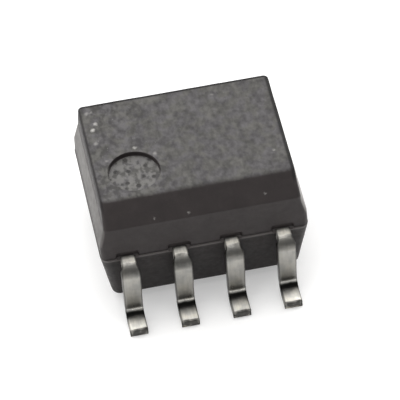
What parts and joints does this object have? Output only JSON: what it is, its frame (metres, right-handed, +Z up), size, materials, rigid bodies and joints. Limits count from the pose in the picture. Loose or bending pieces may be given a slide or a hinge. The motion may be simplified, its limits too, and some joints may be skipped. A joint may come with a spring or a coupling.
{
  "type": "soic chip",
  "caption": "Small-outline chip package: a dark moulded body with one chamfered top edge and a round pin 1 dimple, on two rows of gull-wing solder leads.",
  "frame": {"origin": "centre of the footprint on the seating plane, under the body's centre", "axes": "+Z up, away from the board; +X along the lead rows from lead 1 towards lead 4; leads 1 to 4 lie on the -Y side"},
  "size_m": [0.0052, 0.006, 0.0032],
  "materials": {
    "mould": "dark grey filled epoxy, rough and mottled on top, smoother on the walls",
    "tinned_lead": "matte tin plate over copper alloy, with fine lengthwise streaks",
    "emitter_crystal": "cleaved and metallised crystal",
    "silicon": "polished silicon with a fine circuit relief",
    "die_attach": "silver-filled adhesive",
    "gold_wire": "drawn gold wire",
    "clear_gel": "clear silicone, slightly hazy",
    "amber_film": "amber insulating film"
  },
  "bodies": {
    "root": {"mould_body": "mould", "lead_1": "tinned_lead", "lead_2": "tinned_lead", "lead_3": "tinned_lead", "lead_4": "tinned_lead", "lead_5": "tinned_lead", "lead_6": "tinned_lead", "lead_7": "tinned_lead", "lead_8": "tinned_lead", "emitter_die": "emitter_crystal", "emitter_die_attach": "die_attach", "emitter_wire": "gold_wire", "emitter_gel": "clear_gel", "insulating_film": "amber_film", "detector_gel": "clear_gel", "detector_die": "silicon", "detector_die_attach": "die_attach", "detector_wire_gnd": "gold_wire", "detector_wire_vo": "gold_wire", "detector_wire_ve": "gold_wire", "detector_wire_vcc": "gold_wire"}
  },
  "joints": []
}
